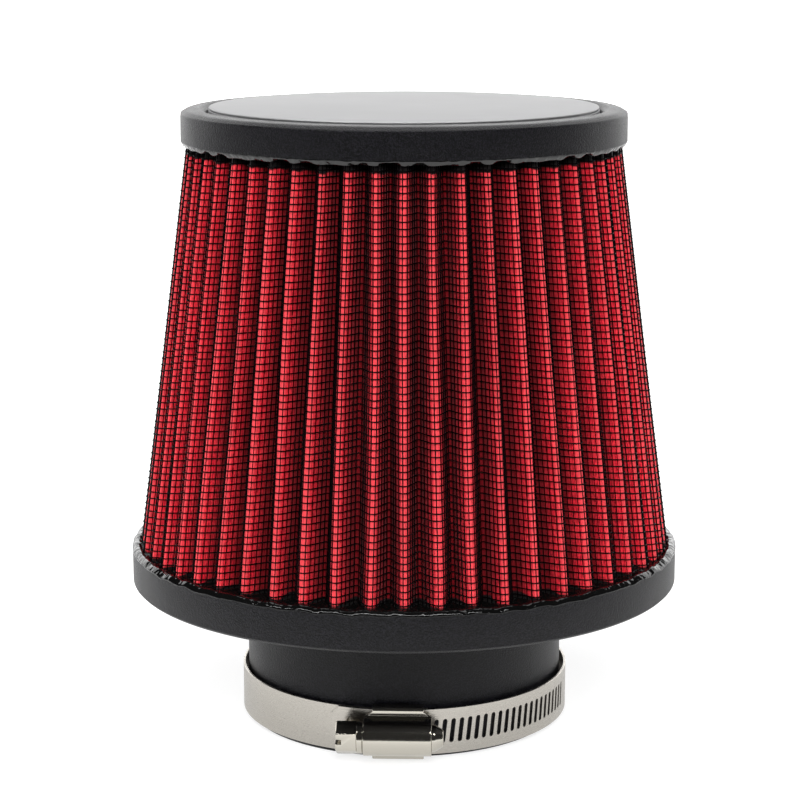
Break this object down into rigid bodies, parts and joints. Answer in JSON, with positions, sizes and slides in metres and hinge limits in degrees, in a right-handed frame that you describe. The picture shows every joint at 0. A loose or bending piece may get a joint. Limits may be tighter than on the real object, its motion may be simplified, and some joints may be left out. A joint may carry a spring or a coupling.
{
  "type": "cone air filter",
  "caption": "Pleated cone air filter: red cotton gauze between wire meshes, black moulded base with intake neck, closed top cap with plain plate, worm-drive clamp.",
  "frame": {"origin": "centre of the neck's open end, on the ground plane when the filter stands on its neck", "axes": "+Z along the filter's axis from the neck to the top cap, -Y towards the clamp's screw housing"},
  "size_m": [0.153, 0.153, 0.1715],
  "materials": {
    "black_urethane": "matte moulded urethane with a fine grain",
    "red_gauze": "oiled cotton gauze, fine weave",
    "coated_wire": "gloss black coated wire cloth",
    "satin_plate": "satin silver",
    "band_steel": "bright rolled stainless strip",
    "polished_steel": "bright plated steel"
  },
  "bodies": {
    "filter": {"base_cap": "black_urethane", "cotton_gauze": "red_gauze", "outer_wire_mesh": "coated_wire", "inner_wire_mesh": "coated_wire", "top_cap": "black_urethane", "top_plate": "satin_plate", "clamp_band": "band_steel", "clamp_housing": "polished_steel"},
    "screw": {"worm_screw": "polished_steel"}
  },
  "joints": [
    {"name": "screw_turn", "type": "hinge", "parent": "filter", "child": "screw", "pos_m": [0, -0.05086, 0.00795], "axis": [1, 0, 0], "continuous": true}
  ]
}
